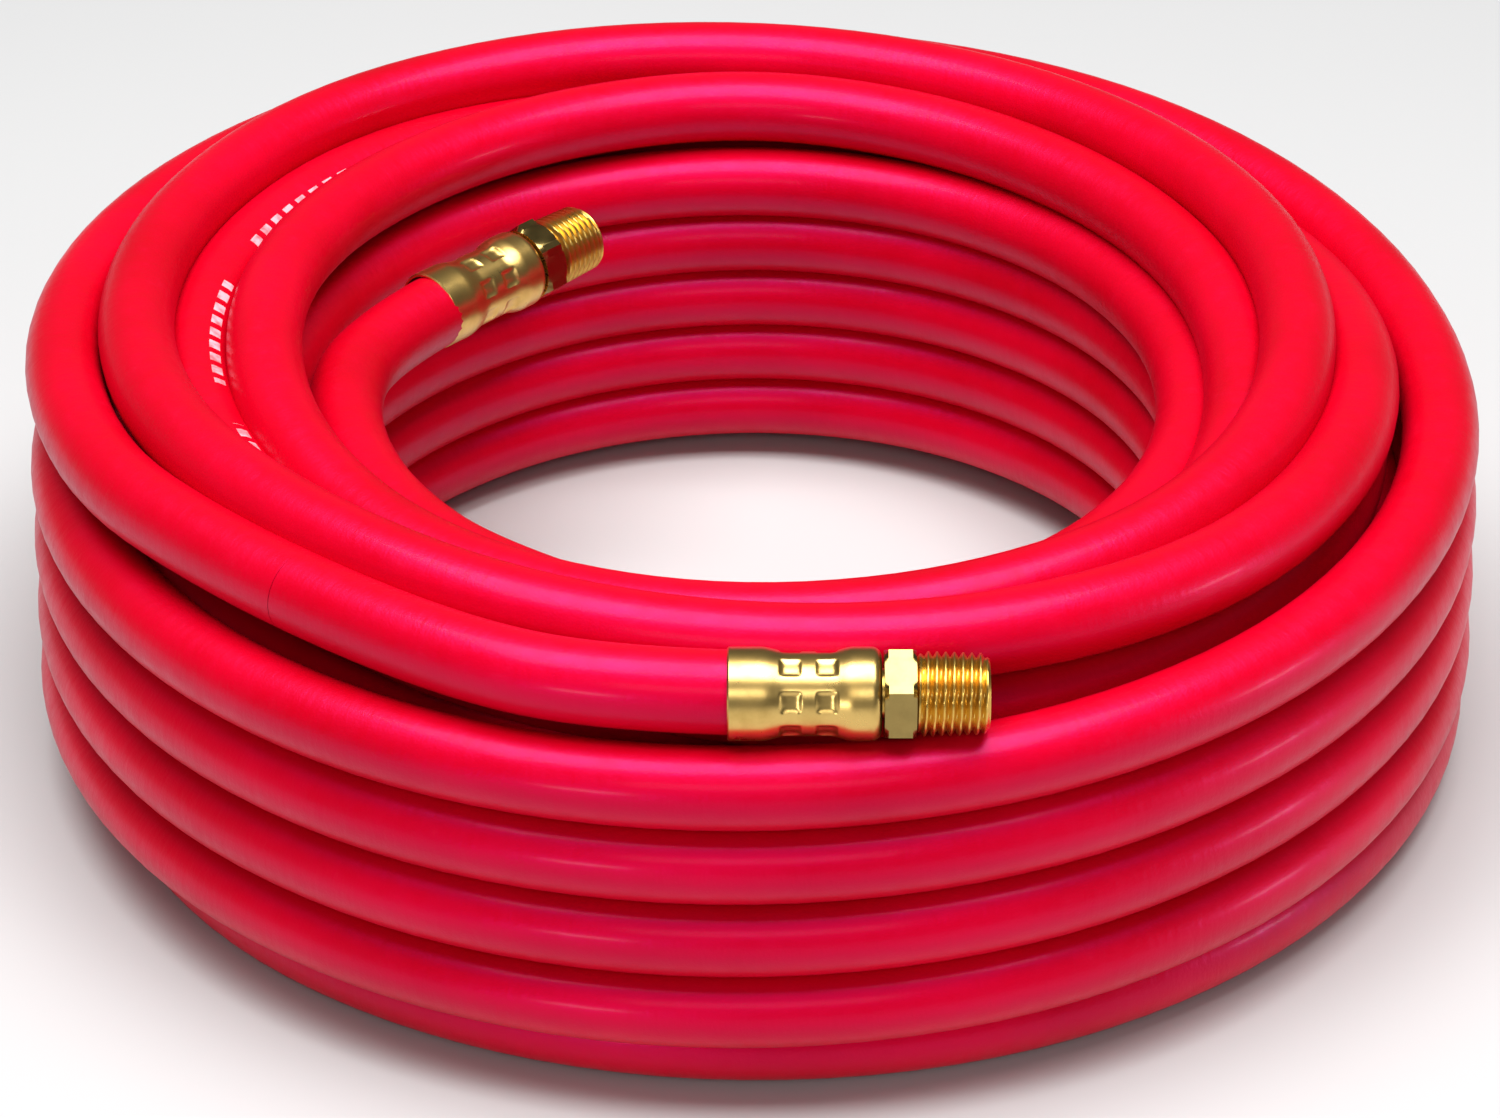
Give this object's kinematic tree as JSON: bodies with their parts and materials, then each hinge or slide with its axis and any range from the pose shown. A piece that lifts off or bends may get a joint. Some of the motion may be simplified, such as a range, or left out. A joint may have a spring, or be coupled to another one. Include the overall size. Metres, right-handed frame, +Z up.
{
  "type": "coiled air hose",
  "caption": "Length of rubber air hose wound in a round coil, with a crimped brass male pipe fitting on each end.",
  "frame": {"origin": "middle of the coil, on the surface it rests on", "axes": "+Z up out of the coil; +X along the outer end's thread; +Y towards the side opposite the outer end"},
  "size_m": [0.271, 0.271, 0.0846],
  "materials": {
    "hose_rubber": "smooth semi-matt moulded rubber",
    "reinforcement": "braided textile yarn",
    "liner_rubber": "smooth black rubber",
    "ferrule_brass": "satin pressed brass",
    "stem_brass": "bright machined brass"
  },
  "bodies": {
    "coil": {"hose_coil": "hose_rubber"},
    "outer_end": {"outer_end_cover": "hose_rubber", "outer_end_reinforcement": "reinforcement", "outer_end_liner": "liner_rubber", "outer_end_ferrule": "ferrule_brass", "outer_end_stem": "stem_brass"},
    "inner_end": {"inner_end_cover": "hose_rubber", "inner_end_reinforcement": "reinforcement", "inner_end_liner": "liner_rubber", "inner_end_ferrule": "ferrule_brass", "inner_end_stem": "stem_brass"}
  },
  "joints": [
    {"name": "outer_end_swing", "type": "hinge", "parent": "coil", "child": "outer_end", "pos_m": [-0.08437, -0.10229, 0.077], "axis": [0, 0, -1], "range_deg": [0, 35], "stiffness_Nm_per_rad": 0.05},
    {"name": "inner_end_lift", "type": "hinge", "parent": "coil", "child": "inner_end", "pos_m": [-0.014, -0.0834, 0.0773], "axis": [0.4235, 0.9059, 0], "range_deg": [0, 30], "stiffness_Nm_per_rad": 0.05}
  ]
}
